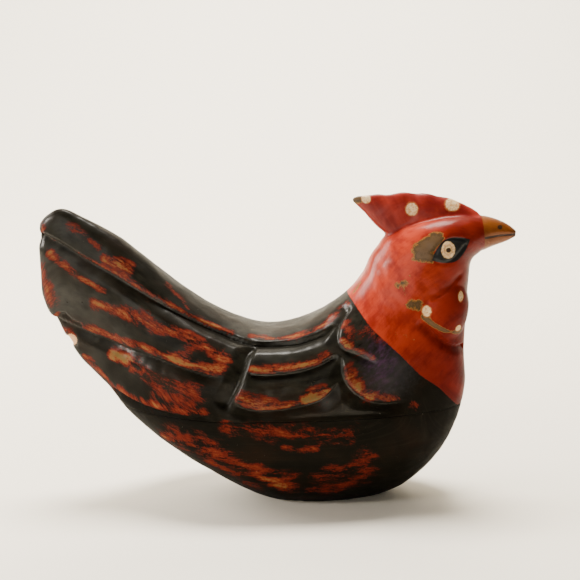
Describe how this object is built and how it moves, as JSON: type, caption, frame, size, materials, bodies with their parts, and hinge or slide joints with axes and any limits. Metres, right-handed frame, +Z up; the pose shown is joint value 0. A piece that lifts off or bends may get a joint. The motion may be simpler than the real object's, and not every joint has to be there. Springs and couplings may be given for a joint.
{
  "type": "wooden bird box",
  "caption": "Carved wooden box in the shape of a hen, its hollow hull closed by a lift-off lid that carries the back, tail, neck and head.",
  "frame": {"origin": "under the middle of the overall length, on the plane the box stands on", "axes": "+X toward the beak, +Y toward the bird's left side, +Z up"},
  "size_m": [0.3, 0.098, 0.1965],
  "materials": {
    "lid_lacquered_wood": "black and red lacquer over wood, rubbed through to red and ochre along the carved edges, satin",
    "base_lacquered_wood": "black lacquer over red over wood, rubbed through in long streaks, satin"
  },
  "bodies": {
    "root": {"lid": "lid_lacquered_wood", "base": "base_lacquered_wood"}
  },
  "joints": []
}
